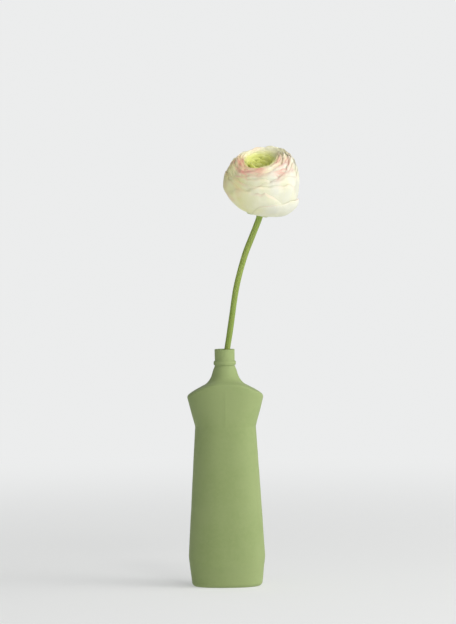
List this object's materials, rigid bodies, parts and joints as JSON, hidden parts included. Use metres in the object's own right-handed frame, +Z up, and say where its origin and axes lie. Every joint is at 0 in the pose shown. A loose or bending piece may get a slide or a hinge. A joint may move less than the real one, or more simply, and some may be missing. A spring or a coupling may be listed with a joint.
{
  "type": "bud vase with a cut flower",
  "caption": "Slender porcelain bud vase shaped like a dish-soap bottle, matt sage green outside, holding a double ranunculus on a long stem that lifts out.",
  "frame": {"origin": "centre of the foot, on the surface that the vase stands on", "axes": "+Z up along the vase's axis, front panel towards -Y, the flower leans towards +X"},
  "size_m": [0.1087, 0.0886, 0.4178],
  "materials": {
    "porcelain": "matt unglazed sage-green porcelain outside, clear glaze inside",
    "stem_green": "satin plant skin",
    "sepal_green": "matt plant skin",
    "eye_green": "matt plant skin",
    "petal_green": "thin satin petal",
    "petal_blush": "thin satin petal with pink edges",
    "petal_cream": "thin satin petal"
  },
  "bodies": {
    "vase": {"vase_body": "porcelain"},
    "flower": {"stem": "stem_green", "receptacle": "stem_green", "sepals": "sepal_green", "carpels": "eye_green", "petals_whorl_01": "petal_green", "petals_whorl_02": "petal_green", "petals_whorl_03": "petal_green", "petals_whorl_04": "petal_green", "petals_whorl_05": "petal_blush", "petals_whorl_06": "petal_blush", "petals_whorl_07": "petal_blush", "petals_whorl_08": "petal_blush", "petals_whorl_09": "petal_blush", "petals_whorl_10": "petal_blush", "petals_whorl_11": "petal_cream", "petals_whorl_12": "petal_cream", "petals_whorl_13": "petal_cream", "petals_whorl_14": "petal_cream"}
  },
  "joints": [
    {"name": "flower_lift", "type": "slide", "parent": "vase", "child": "flower", "axis": [0.1289, -0.0238, 0.9914], "range_m": [0, 0.23]}
  ]
}
